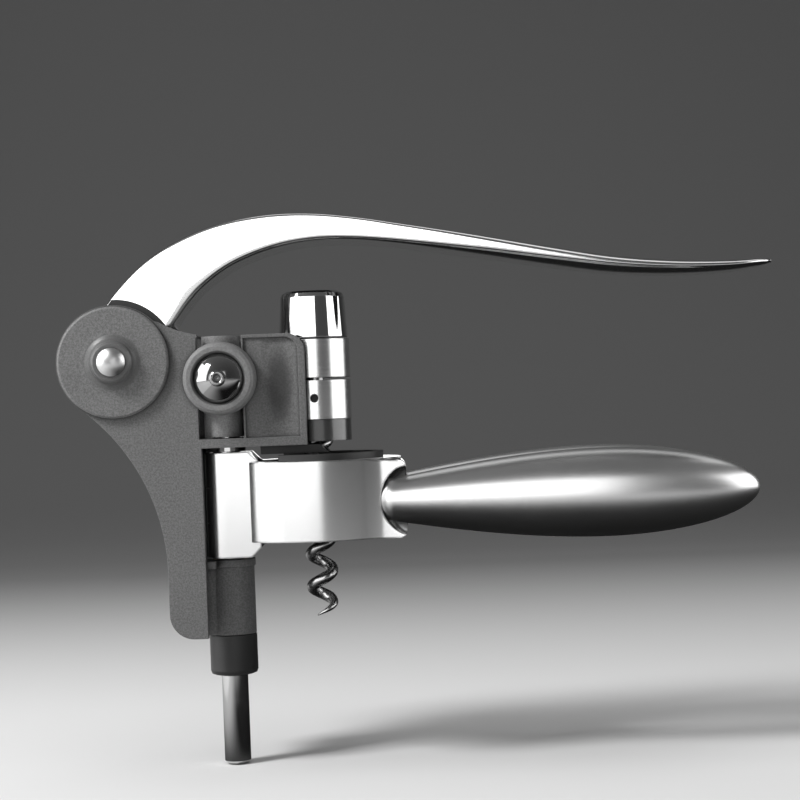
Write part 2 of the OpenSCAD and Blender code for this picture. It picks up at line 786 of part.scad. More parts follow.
module guide_collar_far() {
  color("dimgray") mirror([0, 1, 0]) turned_y(-collar_y, post_x, bolt_up) collar_shape();
}

module head_sleeve() {
  color("silver") difference() {
    translate([0, 0, sleeve_z]) cylinder(r = sleeve_r, h = sleeve_h);
    translate([0, 0, sleeve_z - 1]) cylinder(r = core_r + fit, h = sleeve_h + 2);
    translate([-sleeve_r - 1, -arm_half - fit, sleeve_z - 1]) {
      cube([sleeve_r, 2*arm_half + 2*fit, sleeve_h + 2]);
    }
  }
}

module top_cap() {
  inside = core_r - 0.6 + fit;
  top_r = cap_top_d/2;
  color("lightgray") translate([0, 0, cap_z]) rotate_extrude() polygon([
    [inside, 0], [sleeve_r - 0.5, 0], [sleeve_r - 0.3, 0.3], [top_r, cap_h - 1.6],
    [top_r - 0.4, cap_h - 0.6], [top_r - 1.5, cap_h], [0, cap_h], [0, cap_h - 1.8],
    [inside - 1, cap_h - 1.8], [inside, cap_h - 2.8]
  ]);
}

module spindle_bush() {
  color("goldenrod") translate([0, 0, sleeve_z + 0.2]) difference() {
    cylinder(r = shank_r + 1.6, h = spigot_top - sleeve_z - 0.2);
    translate([0, 0, -1]) cylinder(r = shank_r + run, h = big);
  }
}

// ---------- Worm ----------

shank_low = sleeve_z - 0.2;
coil_top = shank_low + 0.3;
turn_in = 0.7*worm_pitch;                     // length in which the coil leaves the axis
worm_steps = 18;                              // sections to a turn
worm_sides = 8;
worm_n = ceil((coil_top + worm_depth)/worm_pitch*worm_steps);

function ease(t) = t <= 0 ? 0 : t >= 1 ? 1 : t*t*(3 - 2*t);
function unit(v) = v/norm(v);
function worm_z(i) = -worm_depth + (coil_top + worm_depth)*i/worm_n;
function worm_a(z) = 90 + 360*(z - feed_pin_z)/worm_pitch;
// The middle of the wire, which starts on the axis under the shank
function worm_at(z) = let (a = worm_a(z), c = coil_r*ease((coil_top - z)/turn_in)) [c*cos(a), c*sin(a), z];
// The wire thins to the point
function worm_thick(z) = wire_r*min(1, 0.12 + (z + worm_depth)/(0.55*worm_pitch));
function worm_ring(i) =
  let (z = worm_z(i), a = worm_a(z), w = worm_thick(z),
       along = unit(worm_at(z + 0.01) - worm_at(z - 0.01)),
       out = [cos(a), sin(a), 0], n = unit(out - (out*along)*along), b = cross(along, n))
  [for (k = [0:worm_sides - 1])
    worm_at(z) + w*cos(360*k/worm_sides)*n + w*sin(360*k/worm_sides)*b];

module worm_coil() {
  m = worm_sides;
  points = [for (i = [0:worm_n]) each worm_ring(i)];
  sides = [for (i = [0:worm_n - 1]) for (k = [0:m - 1])
    let (j = (k + 1)%m)
    each [[i*m + k, (i + 1)*m + k, (i + 1)*m + j], [i*m + k, (i + 1)*m + j, i*m + j]]];
  ends = [[for (k = [0:m - 1]) k], [for (k = [m - 1:-1:0]) worm_n*m + k]];
  polyhedron(points, concat(sides, ends));
}

module worm() {
  color("darkgray") union() {
    worm_coil();
    translate([0, 0, shank_low - 1]) cylinder(r = shank_r, h = spigot_top + 4.6 - shank_low);
  }
}

washer_t = 0.8;

module worm_washer() {
  color("silver") translate([0, 0, spigot_top + 0.1]) difference() {
    cylinder(r = shank_r + 1.9, h = washer_t);
    translate([0, 0, -1]) cylinder(r = shank_r + fit, h = big);
  }
}

module worm_nut() {
  color("silver") translate([0, 0, spigot_top + washer_t + 0.15]) difference() {
    cylinder(r = shank_r + 1.8, h = 2.4, $fn = 6);
    translate([0, 0, -1]) cylinder(r = shank_r + fit, h = big);
  }
}

// ---------- Jaws ----------

root_round = 3.8;                             // length of the rounded root

// The jaw's seat for a handle's root, open towards the handle
module root_pocket() {
  grow = fit*root_d/(2*root_seat_r);
  polygon(concat(
    [[0, 0]], [for (k = [0:4]) root_point(k/4, grow)],
    [[root_d/2 + grow, root_round + 4], [0, root_round + 4]]
  ));
}

// A half turn-round wedge that keeps angles a0 to a1 round the worm's axis
module sector(a0, a1, r) {
  mid = (a0 + a1)/2;
  polygon([
    [0, 0], r*[cos(a0), sin(a0)], 1.6*r*[cos((a0 + mid)/2), sin((a0 + mid)/2)],
    1.6*r*[cos(mid), sin(mid)], 1.6*r*[cos((mid + a1)/2), sin((mid + a1)/2)], r*[cos(a1), sin(a1)]
  ]);
}

cup_r = 9.8;                                  // round hollow at the end of a jaw, about the handle's root
cup_side = 2;                                 // the hollow's middle lies this far outside the handle's axis
boss_front = root_side + 5.5;
boss_back = 5.5;
boss_end = 22.7;
boss_edge_r = 2.2;                            // corner radius of the boss's end
flare_r = 8;                                  // hollow sweep from the ring out to the boss
flare_a = atan2(boss_front, boss_end) + acos(
  ((ring_r + flare_r)^2 + boss_front^2 + boss_end^2 - flare_r^2)
  /(2*(ring_r + flare_r)*norm([boss_front, boss_end])));
flare_at = (ring_r + flare_r)*[cos(flare_a), -sin(flare_a)];
boss_top = ring_top - 0.9;                    // the boss falls away a little towards its end
stud_r = 1.9;
stud_in = root_out - 12.6;
root_seat_r = 2.6;                            // flat end of a handle's rounded root

module handle_frame() {
  translate([root_out, -root_side, handle_z]) children();
}

// The near jaw. own = 1 has the outer two knuckles, own = 0 the middle one
module jaw_body(own) {
  low = hinge_low;
  k1 = low + knuckle_h;
  k2 = k1 + gap;
  k3 = k2 + knuckle_h;
  k4 = k3 + gap;
  spans = own == 1 ? [[low, k1], [k4, hinge_top]] : [[k2, k3]];
  chamfer = 3;
  arm_x = -ring_left + 2.5;
  difference() {
    union() {
      // ring
      intersection() {
        translate([0, 0, ring_low]) cylinder(r = ring_r, h = ring_h);
        translate([-ring_left, -ring_r - 1, ring_low - 1]) {
          cube([ring_left + ring_r + 1, ring_r + 1 - jaw_gap, ring_h + 2]);
        }
      }
      // end that carries the handle, flaring out of the ring
      intersection() {
        translate([0, 0, ring_low]) linear_extrude(ring_h) difference() {
          polygon([
            (ring_r - lap)*[cos(flare_a), -sin(flare_a)], flare_at, [boss_end, -boss_front],
            [boss_end, -boss_back], [ring_r*0.6, -boss_back]
          ]);
          translate(flare_at) circle(r = flare_r);
        }
        slab(-big/2, 0) {
          polygon([
            [0, ring_low], [boss_end - boss_edge_r, ring_low], [boss_end, ring_low + boss_edge_r],
            [boss_end, boss_top - boss_edge_r], [boss_end - boss_edge_r, boss_top],
            [ring_r*0.5, ring_top], [0, ring_top]
          ]);
          for (z = [ring_low + boss_edge_r, boss_top - boss_edge_r]) {
            translate([boss_end - boss_edge_r, z]) circle(r = boss_edge_r);
          }
        }
      }
      // arm outside the knuckles, with its corners cut down to the ring
      slab(-arm_out, -arm_in) polygon([
        [post_x, low], [arm_x - chamfer, low], [arm_x, low + chamfer],
        [arm_x, hinge_top - chamfer], [arm_x - chamfer, hinge_top], [post_x, hinge_top]
      ]);
      intersection() {
        translate([post_x, 0, low]) cylinder(r = arm_out, h = hinge_h);
        translate([post_x, 0, low - 1]) linear_extrude(hinge_h + 2) sector(242, 272, arm_out + 1);
      }
      for (s = spans) {
        translate([post_x, 0, s[0]]) cylinder(r = knuckle_r, h = s[1] - s[0]);
        intersection() {
          translate([post_x, -arm_in - lap, s[0]]) cube([arm_x - post_x, arm_in + lap - 0.25, s[1] - s[0]]);
          slab(-arm_out, 0) polygon([
            [post_x, low], [arm_x - chamfer, low], [arm_x, low + chamfer],
            [arm_x, hinge_top - chamfer], [arm_x - chamfer, hinge_top], [post_x, hinge_top]
          ]);
        }
      }
    }
    // room for the liner and the neck
    translate([0, 0, low - 1]) cylinder(r = liner_r + fit, h = hinge_h + 4);
    // room for the other jaw's knuckles and for the post
    intersection() {
      translate([post_x, 0, low - 1]) cylinder(r = arm_in, h = hinge_h + 2);
      union() {
        if (own == 1) translate([post_x, 0, k1]) cylinder(r = arm_in + 1, h = k4 - k1);
        if (own == 0) {
          translate([post_x, 0, low - 1]) cylinder(r = arm_in + 1, h = k2 - low + 1);
          translate([post_x, 0, k3]) cylinder(r = arm_in + 1, h = hinge_top - k3 + 1);
        }
      }
    }
    translate([post_x, 0, low - 1]) cylinder(r = post_r + run, h = hinge_h + 2);
    // cup and screw hole of the handle
    handle_frame() {
      translate([cup_r, -cup_side, 0]) sphere(r = cup_r);
      rotate([0, 90, 0]) rotate_extrude() root_pocket();
      translate([-stud_in - 0.2, 0, 0]) rotate([0, 90, 0]) cylinder(r = stud_r + fit, h = 10);
    }
  }
}

module jaw_near() {
  color("silver") jaw_body(1);
}

module jaw_far() {
  color("silver") mirror([0, 1, 0]) jaw_body(0);
}

module jaw_liner() {
  difference() {
    translate([0, 0, ring_low + 0.5]) cylinder(r = liner_r, h = ring_h + 1.1);
    translate([0, 0, ring_low - 1]) cylinder(r = neck_r, h = ring_h + 4);
    translate([-ring_r, -jaw_gap, ring_low - 1]) cube([2*ring_r, ring_r + 2, ring_h + 4]);
    translate([-ring_r - 9.5, -ring_r, ring_low - 1]) cube([ring_r, 2*ring_r, ring_h + 4]);
  }
}

module jaw_liner_near() {
  color("black") jaw_liner();
}

module jaw_liner_far() {
  color("black") mirror([0, 1, 0]) jaw_liner();
}

// The handle's half profile: a rounded root, a swelling neck, then half an oval
handle_l = handle_reach - root_out;
swell_l = handle_swell - root_out;
neck_slope = 0.18;
// A point on the rounded root, from its flat end at t = 0 to its full width at t = 1
function root_point(t, grow = 0) =
  let (a0 = asin(2*root_seat_r/root_d), a = a0 + (90 - a0)*t)
  [(root_d/2 + grow)*sin(a), root_round*(1 - cos(a)/cos(a0))];
function handle_radius(u) =
  let (t = (u - root_round)/(swell_l - root_round), v = (u - swell_l)/(handle_l - swell_l))
  u < swell_l ? (2*t^3 - 3*t^2 + 1)*root_d/2 + (t^3 - 2*t^2 + t)*neck_slope*(swell_l - root_round)
    + (3*t^2 - 2*t^3)*handle_d/2 :
  handle_d/2*sqrt(max(0, 1 - v^2));
neck_n = 12;
tip_n = 12;

module handle_grip() {
  handle_frame() rotate([0, 90, 0]) difference() {
    rotate_extrude() polygon(concat(
      [[0, 0]],
      [for (k = [0:4]) root_point(k/4)],
      [for (k = [1:neck_n]) let (u = root_round + (swell_l - root_round)*k/neck_n) [handle_radius(u), u]],
      [for (k = [1:tip_n]) let (u = swell_l + (handle_l - swell_l)*sin(90*k/tip_n))
        [k == tip_n ? 0 : handle_radius(u), u]]
    ));
    translate([0, 0, -1]) cylinder(r = stud_r + fit, h = 13);
  }
}

module handle_near() {
  color("silver") handle_grip();
}

module handle_far() {
  color("silver") mirror([0, 1, 0]) handle_grip();
}

// Threaded stud from the jaw into the handle
module handle_stud() {
  handle_frame() translate([-stud_in, 0, 0]) rotate([0, 90, 0]) cylinder(r = stud_r, h = stud_in + 11.8);
}

module handle_stud_near() {
  color("gray") handle_stud();
}

module handle_stud_far() {
  color("gray") mirror([0, 1, 0]) handle_stud();
}

frame_near();
frame_far();
pivot_cover_near();
pivot_cover_far();
pivot_pin();
pivot_rivet_head();
frame_screws();
post_bush();
end_cap();
mouth_stop();
nut_housing();
feed_nut();
feed_pins();
lever_arm();
drive_gear();
gear_rivets();
carriage();
rack_bar();
rack_pin();
guide_post();
cross_bolt();
bolt_cap_nut();
guide_collar_near();
guide_collar_far();
head_sleeve();
top_cap();
spindle_bush();
worm();
worm_washer();
worm_nut();
jaw_near();
jaw_liner_near();
handle_near();
handle_stud_near();
jaw_far();
jaw_liner_far();
handle_far();
handle_stud_far();
hinge_washer();
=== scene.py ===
"""Lever corkscrew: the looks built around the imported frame."""

import math

import bmesh
import bpy
from mathutils import Matrix, Vector


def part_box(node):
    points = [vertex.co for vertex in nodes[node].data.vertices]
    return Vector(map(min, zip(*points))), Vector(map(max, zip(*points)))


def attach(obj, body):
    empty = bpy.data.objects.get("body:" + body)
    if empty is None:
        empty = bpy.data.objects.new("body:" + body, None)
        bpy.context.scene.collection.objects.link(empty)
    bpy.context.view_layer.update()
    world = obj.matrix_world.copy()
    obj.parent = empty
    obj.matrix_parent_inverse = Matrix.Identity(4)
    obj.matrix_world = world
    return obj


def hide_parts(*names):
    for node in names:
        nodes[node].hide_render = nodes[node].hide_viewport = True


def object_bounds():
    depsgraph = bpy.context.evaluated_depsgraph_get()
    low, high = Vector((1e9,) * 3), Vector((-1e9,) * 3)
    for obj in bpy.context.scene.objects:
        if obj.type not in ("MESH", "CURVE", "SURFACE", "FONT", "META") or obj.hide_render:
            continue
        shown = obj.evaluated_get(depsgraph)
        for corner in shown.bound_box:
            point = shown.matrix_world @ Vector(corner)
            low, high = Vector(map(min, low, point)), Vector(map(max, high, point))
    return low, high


MM = 0.001
SHARP = math.radians(34)

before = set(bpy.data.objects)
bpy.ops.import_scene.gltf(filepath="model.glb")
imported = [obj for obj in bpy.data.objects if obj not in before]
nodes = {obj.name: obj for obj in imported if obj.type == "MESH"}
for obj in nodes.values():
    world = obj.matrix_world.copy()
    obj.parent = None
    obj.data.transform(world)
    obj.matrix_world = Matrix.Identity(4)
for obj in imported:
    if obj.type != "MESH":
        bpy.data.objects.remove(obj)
cad_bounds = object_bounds()


# ---------- Shader maths ----------

class Field:
    """A shader socket that can be used in Python sums."""

    def __init__(self, maker, socket):
        self.maker, self.socket = maker, socket

    def _math(self, operation, a, b=None):
        values = [v for v in (a, b) if v is not None]
        return self.maker.node("ShaderNodeMath", {"operation": operation}, dict(enumerate(values)))

    def __add__(self, other):
        return self._math("ADD", self, other)

    __radd__ = __add__

    def __sub__(self, other):
        return self._math("SUBTRACT", self, other)

    def __rsub__(self, other):
        return self._math("SUBTRACT", other, self)

    def __mul__(self, other):
        return self._math("MULTIPLY", self, other)

    __rmul__ = __mul__

    def __truediv__(self, other):
        return self._math("DIVIDE", self, other)

    def __pow__(self, other):
        return self._math("POWER", self, other)

    def root(self):
        return self._math("SQRT", self)

    def ramp(self, low, high, to_low=0.0, to_high=1.0):
        """A smooth step of this value from low to high."""
        settings = {"interpolation_type": "SMOOTHSTEP"}
        return self.maker.node("ShaderNodeMapRange", settings,
                               {0: self, 1: low, 2: high, 3: to_low, 4: to_high})


class Finish:
    """A material under construction."""

    def __init__(self, name):
        self.material = bpy.data.materials.new(name)
        self.material.use_nodes = True
        self.tree = self.material.node_tree
        self.shader = self.tree.nodes["Principled BSDF"]
        self.place = self.node("ShaderNodeTexCoord", {}, {}, "Object")

    def node(self, kind, settings, inputs, output=0):
        made = self.tree.nodes.new(kind)
        for key, value in settings.items():
            setattr(made, key, value)
        for key, value in inputs.items():
            self.feed(made.inputs[key], value)
        return Field(self, made.outputs[output])

    def feed(self, socket, value):
        if isinstance(value, Field):
            self.tree.links.new(value.socket, socket)
        else:
            socket.default_value = value

    def set(self, **values):
        for key, value in values.items():
            self.feed(self.shader.inputs[key.replace("_", " ")], value)

    def stretch(self, x=1.0, y=1.0, z=1.0):
        """The piece's own coordinates, scaled so that a noise is drawn out along an axis."""
        return self.node("ShaderNodeMapping", {}, {"Vector": self.place, "Scale": (x, y, z)})

    def noise(self, scale, detail=2.0, rough=0.5, at=None):
        return self.node("ShaderNodeTexNoise", {}, {
            "Vector": at or self.place, "Scale": scale, "Detail": detail, "Roughness": rough})

    def blend(self, amount, first, second):
        """A mix of two colours."""
        return self.node("ShaderNodeMix", {"data_type": "RGBA"}, {0: amount, 6: first, 7: second}, 2)

    def axes(self):
        split = self.tree.nodes.new("ShaderNodeSeparateXYZ")
        self.tree.links.new(self.place.socket, split.inputs[0])
        return [Field(self, out) for out in split.outputs]

    def away(self, node):
        """Distance from the middle of a CAD node, seen along Y."""
        x, y, z = self.axes()
        low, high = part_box(node)
        return ((x - (low[0] + high[0]) / 2) ** 2 + (z - (low[2] + high[2]) / 2) ** 2).root()

    def crevice(self, reach):
        """1 in the open, less where the surface is hemmed in nearer than reach; used to paint shade into
        corners.
        """
        return self.node("ShaderNodeAmbientOcclusion", {"samples": 8}, {"Distance": reach}, "AO")

    def edges(self, radius):
        """1 on sharp edges, 0 elsewhere."""
        soft = self.node("ShaderNodeBevel", {"samples": 4}, {"Radius": radius})
        true = self.node("ShaderNodeNewGeometry", {}, {}, "Normal")
        same = self.node("ShaderNodeVectorMath", {"operation": "DOT_PRODUCT"}, {0: soft, 1: true}, "Value")
        return (1 - same).ramp(0.02, 0.22)

    def moulded(self, tone, dark, light, reach=1.8 * MM, edge=0.3 * MM, edge_highlight=0.3):
        """Plastic's colour, with painted shade darkening its corners and a painted highlight paling its
        edges.
        """
        colour = self.blend(tone, grey(dark), grey(light))
        # painted highlight: sharp edges are blended towards a pale grey
        colour = self.blend(self.edges(edge) * 0.4, colour, grey(edge_highlight))
        # painted shade: the colour is blended towards near-black where the surface is hemmed in
        return self.blend(self.crevice(reach).ramp(0.25, 0.98), grey(dark * 0.15), colour)

    def bump(self, height, distance, strength=1.0, edge=0.0):
        """Relief of the surface; edge is the radius to which sharp edges look rounded."""
        inputs = {"Height": height, "Distance": distance, "Strength": strength}
        if edge:
            inputs["Normal"] = self.node("ShaderNodeBevel", {"samples": 4}, {"Radius": edge})
        self.set(Normal=self.node("ShaderNodeBump", {}, inputs))


def grey(value):
    return (value, value, value, 1.0)


def speckle(f):
    """Grain height, and the tone that goes with it."""
    speck = f.noise(2000, 2, 0.65) * 0.6 + f.noise(5200, 1, 0.5) * 0.4
    return speck, speck.ramp(0.38, 0.62) * 0.7 + f.noise(70, 3, 0.55) * 0.3


def grained(name, dark, light, rough=0.45, edge=0.35 * MM, reach=1.8 * MM):
    """Moulded plastic with a spark-eroded grain."""
    f = Finish(name)
    speck, tone = speckle(f)
    f.set(Base_Color=f.moulded(tone, dark, light, reach), Roughness=rough + 0.2 * speck)
    f.bump(speck, 0.12 * MM, 0.6, edge)
    return f.material


# The hollow of the side plates' panels, where a dark shade is painted: middle and half sizes, in mm
PANEL_X, PANEL_Z, PANEL_HALF_W, PANEL_HALF_H = -8.6, 18.5, 4.2, 11.5


def frame_plastic():
    """The side plates: grained, with a painted shade darkening the hollow of each panel."""
    f = Finish("grained_plastic")
    speck, tone = speckle(f)
    x, y, z = f.axes()
    across = (x - PANEL_X * MM) * (1 / (PANEL_HALF_W * MM))
    up = (z - PANEL_Z * MM) * (1 / (PANEL_HALF_H * MM))
    shaded_hollow = (across ** 2 + up ** 2).ramp(0.0, 1.0, 1.0, 0.0)
    # painted shade: the middle of each panel's hollow is blended towards near-black
    f.set(Base_Color=f.blend(shaded_hollow * 0.78, f.moulded(tone, 0.075, 0.16, 2.4 * MM), grey(0.016)),
          Roughness=0.45 + 0.2 * speck - 0.1 * shaded_hollow)
    f.bump(speck, 0.12 * MM, 0.6, 0.35 * MM)
    return f.material


BOSS_R = 6.6


def cover_plastic():
    """The round covers: grained outside, polished on the boss."""
    f = Finish("cover_plastic")
    field = f.away("pivot_pin").ramp(BOSS_R * MM, (BOSS_R + 1.0) * MM)
    speck, tone = speckle(f)
    # painted shade: the wide occlusion reach darkens the cover round its boss and rim
    f.set(Base_Color=f.moulded(tone * (0.35 + 0.65 * field), 0.075, 0.17, 3.6 * MM),
          Roughness=0.32 + 0.12 * field + 0.18 * speck * field)
    f.bump(speck * field, 0.12 * MM, 0.6, 0.3 * MM)
    return f.material


def smooth_plastic(name="smooth_plastic", dark=0.03, light=0.05, rough=0.3, shine=0.5):
    f = Finish(name)
    cloud = f.noise(90, 3, 0.6)
    f.set(Base_Color=f.moulded(cloud, dark, light, edge_highlight=0.12), Roughness=rough + 0.14 * cloud)
    f.set(Specular_IOR_Level=shine, Coat_Weight=shine - 0.5, Coat_Roughness=0.12)
    f.bump(f.noise(3800, 2, 0.5), 0.03 * MM, 0.25, 0.3 * MM)
    return f.material


def rubber():
    f = Finish("grip_rubber")
    grain = f.noise(3000, 3, 0.6)
    f.set(Base_Color=f.blend(grain, grey(0.006), grey(0.013)), Roughness=0.36 + 0.18 * grain)
    f.bump(grain, 0.08 * MM, 0.4, 0.3 * MM)
    return f.material


def satin_metal(name="satin_metal", tone=0.68, rough=0.24, along=(1, 1, 1), edge=0.6 * MM):
    """Pearl-plated castings: an even satin with very fine brush lines."""
    f = Finish(name)
    lines = f.noise(2600, 3, 0.6, f.stretch(*along))
    cloud = f.noise(45, 3, 0.55)
    colour = f.blend(cloud * 0.5 + lines * 0.5, grey(tone * 0.93), grey(tone * 1.06))
    f.set(Metallic=1.0, Base_Color=colour, Roughness=rough + 0.06 * cloud + 0.06 * lines)
    f.bump(lines * 0.6 + f.noise(5200, 1, 0.4) * 0.4, 0.012 * MM, 0.35, edge)
    return f.material


def turned_metal():
    """Sleeve and housing: lines that run round the worm's axis."""
    f = Finish("turned_metal")
    lines = f.noise(700, 3, 0.75, f.stretch(0.05, 0.05, 6.0))
    f.set(Metallic=1.0, Base_Color=f.blend(lines, grey(0.6), grey(0.8)),
          Roughness=0.13 + 0.16 * lines + 0.04 * f.noise(60, 2, 0.5))
    f.bump(lines, 0.015 * MM, 0.4, 0.3 * MM)
    return f.material


def polished_metal():
    """The lever's casting: bright, with a trace of polishing waves and hairlines."""
    f = Finish("polished_metal")
    wave = f.noise(28, 2, 0.5)
    hair = f.noise(900, 2, 0.6, f.stretch(0.12, 1.2, 1.2))
    f.set(Metallic=1.0, Base_Color=f.blend(wave, grey(0.76), grey(0.84)),
          Roughness=0.11 + 0.05 * wave + 0.06 * hair)
    f.bump(wave * 0.9 + hair * 0.1, 0.03 * MM, 0.2)
    return f.material


def chrome(name="chrome_plate", tone=0.78, rough=0.04):
    f = Finish(name)
    smudge = f.noise(85, 4, 0.65)
    f.set(Metallic=1.0, Base_Color=f.blend(smudge, grey(tone * 0.96), grey(tone * 1.03)),
          Roughness=rough + 0.07 * smudge.ramp(0.5, 0.75))
    f.bump(f.noise(60, 2, 0.4), 0.01 * MM, 0.2, 0.2 * MM)
    return f.material


def ground_steel(name="ground_steel", tone=0.42, rough=0.3, edge=0.2 * MM):
    f = Finish(name)
    lines = f.noise(1500, 3, 0.65, f.stretch(1.0, 0.08, 1.0))
    oil = f.noise(160, 3, 0.6)
    f.set(Metallic=1.0, Base_Color=f.blend(oil.ramp(0.3, 0.7), grey(tone * 0.75), grey(tone * 1.1)),
          Roughness=rough + 0.12 * lines + 0.08 * oil)
    f.bump(lines, 0.02 * MM, 0.4, edge)
    return f.material


def cast_recess():
    """The lever's step round the frame's head: a near-black, rough metal, far darker than the rest of the
    lever.
    """
    f = Finish("cast_recess")
    grain = f.noise(3000, 2, 0.6)
    f.set(Metallic=0.6, Base_Color=f.blend(grain, grey(0.03), grey(0.06)), Roughness=0.5 + 0.2 * grain)
    f.bump(grain, 0.05 * MM, 0.5, 0.3 * MM)
    return f.material


def bronze():
    f = Finish("sintered_bronze")
    grain = f.noise(4200, 3, 0.6)
    f.set(Metallic=1.0, Base_Color=f.blend(grain, (0.42, 0.27, 0.12, 1), (0.58, 0.4, 0.2, 1)),
          Roughness=0.38 + 0.12 * grain)
    f.bump(grain, 0.04 * MM, 0.4)
    return f.material


finishes = {
    "grained": frame_plastic(),
    "slide": grained("slide_plastic", 0.12, 0.22, 0.36, reach=0.5 * MM),
    "collar": grained("collar_plastic", 0.12, 0.19, 0.42, 0.3 * MM),
    "cover": cover_plastic(),
    "smooth": smooth_plastic(dark=0.022, light=0.038),
    "stop": smooth_plastic("stop_nylon", 0.01, 0.018, 0.34),
    "nylon": smooth_plastic("black_nylon", 0.014, 0.026, 0.16, shine=1.0),
    "rubber": rubber(),
    "satin": satin_metal(tone=0.62, rough=0.15),
    "handle": satin_metal("handle_metal", 0.68, 0.25, (0.15, 1.0, 1.0), 0.0),
    "turned": turned_metal(),
    "polished": polished_metal(),
    "chrome": chrome(),
    "bolt": chrome("bolt_chrome", 0.42, 0.08),
    "post": chrome("post_chrome", 0.72, 0.1),
    # painted shade: near-black for the feed pins, so the hole they sit in looks shadowed
    "hole_shade": smooth_plastic("black_oxide", 0.004, 0.008, 0.5),
    "pin": chrome("pin_plate", 0.66, 0.32),
    "recess": cast_recess(),
    "steel": ground_steel(),
    "worm": ground_steel("worm_steel", 0.5, 0.16),
    "bronze": bronze(),
}

wears = {
    "grained": ["frame_near", "frame_far"],
    "collar": ["guide_collar_near", "guide_collar_far"],
    "cover": ["pivot_cover_near", "pivot_cover_far"],
    "smooth": ["end_cap"],
    "slide": ["carriage"],
    "rubber": ["jaw_liner_near", "jaw_liner_far"],
    "satin": ["jaw_near", "jaw_far"],
    "turned": ["nut_housing", "head_sleeve"],
    "chrome": ["top_cap", "hinge_washer"],
    "post": ["guide_post"],
    "hole_shade": ["feed_pins"],
    "bolt": ["bolt_cap_nut"],
    "pin": ["pivot_pin", "pivot_rivet_head"],
    "nylon": ["feed_nut"],
    "stop": ["mouth_stop"],
    "steel": ["frame_screws", "drive_gear", "gear_rivets", "rack_bar", "rack_pin",
              "worm_washer", "worm_nut", "handle_stud_near", "handle_stud_far"],
    "bronze": ["post_bush", "spindle_bush"],
}
for finish, names in wears.items():
    for name in names:
        node = nodes[name]
        node.data.materials.clear()
        node.data.materials.append(finishes[finish])


# ---------- Pieces ----------

pieces = {}


def finished(name, data, finish, body, replaced):
    """A mesh given in millimetres becomes a piece that stands for a CAD node."""
    data.transform(Matrix.Scale(MM, 4))
    data.materials.clear()
    data.materials.append(finishes[finish])
    data.shade_smooth()
    data.set_sharp_from_angle(angle=SHARP)
    piece = bpy.data.objects.new(name, data)
    bpy.context.scene.collection.objects.link(piece)
    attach(piece, body)
    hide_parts(replaced)
    pieces[name] = piece
    return piece


def object_of(name, mesh):
    """A bmesh becomes an object, with its faces turned outwards."""
    bmesh.ops.recalc_face_normals(mesh, faces=mesh.faces)
    data = bpy.data.meshes.new(name)
    mesh.to_mesh(data)
    mesh.free()
    made = bpy.data.objects.new(name, data)
    bpy.context.scene.collection.objects.link(made)
    return made


def bridge(mesh, rings):
    """Joins rings of points into a closed skin; a ring of one point is a pole."""
    rows = [[mesh.verts.new(p) for p in ring] for ring in rings]
    for low, high in zip(rows, rows[1:]):
        n = max(len(low), len(high))
        for k in range(n):
            corners = [low[k % len(low)], low[(k + 1) % len(low)],
                       high[(k + 1) % len(high)], high[k % len(high)]]
            mesh.faces.new(list(dict.fromkeys(corners)))
    if len(rows[0]) > 1:
        mesh.faces.new(rows[0][::-1])
    if len(rows[-1]) > 1:
        mesh.faces.new(rows[-1])


def taken(made):
    """The object's mesh, without the object."""
    data = made.data
    bpy.data.objects.remove(made)
    return data


def circle(radius, sides):
    """Points (x, y) of a circle, or its centre where the radius is 0."""
    if not radius:
        return [(0.0, 0.0)]
    turns = (2 * math.pi * k / sides for k in range(sides))
    return [(radius * math.cos(a), radius * math.sin(a)) for a in turns]


def baked(made):
    """The object with its modifiers worked out, as a plain mesh."""
    depsgraph = bpy.context.evaluated_depsgraph_get()
    data = bpy.data.meshes.new_from_object(made.evaluated_get(depsgraph))
    bpy.data.objects.remove(made)
    return data


# The handle, from its root on the jaw to its tip. Lengths run along X from the root, in mm.

JAW_TOP, JAW_H = -0.7, 20.2
ROOT_OUT, ROOT_SIDE, HANDLE_Z = 16.0, 13.5, JAW_TOP - 0.53 * JAW_H
HANDLE_END, SWELL_X, HANDLE_D = 112, 73, 22.5
HANDLE_L, SWELL_L, HANDLE_R = HANDLE_END - ROOT_OUT, SWELL_X - ROOT_OUT, HANDLE_D / 2
ROOT_R, ROOT_ROUND, ROOT_SEAT, NECK_SLOPE = 5.5, 3.8, 2.6, 0.18
HANDLE_SIDES = 96


def handle_radius(u):
    """Half the handle's thickness: a cubic up to the swell, then an ellipse to the tip."""
    if u >= SWELL_L:
        v = (u - SWELL_L) / (HANDLE_L - SWELL_L)
        return HANDLE_R * math.sqrt(max(0, 1 - v * v))
    span = SWELL_L - ROOT_ROUND
    t = (u - ROOT_ROUND) / span
    return ((2 * t**3 - 3 * t**2 + 1) * ROOT_R + (t**3 - 2 * t**2 + t) * NECK_SLOPE * span
            + (3 * t**2 - 2 * t**3) * HANDLE_R)


def handle_profile():
    """(radius, length) from the root's seat, over its round edge, to the tip."""
    start = math.asin(ROOT_SEAT / ROOT_R)
    points = [(0, 0)]
    for k in range(9):
        a = start + (math.pi / 2 - start) * k / 8
        points.append((ROOT_R * math.sin(a), ROOT_ROUND * (1 - math.cos(a) / math.cos(start))))
    lengths = [ROOT_ROUND + (SWELL_L - ROOT_ROUND) * k / 36 for k in range(1, 37)]
    lengths += [SWELL_L + (HANDLE_L - SWELL_L) * math.sin(math.pi / 2 * k / 32) for k in range(1, 32)]
    return points + [(handle_radius(u), u) for u in lengths] + [(0, HANDLE_L)]


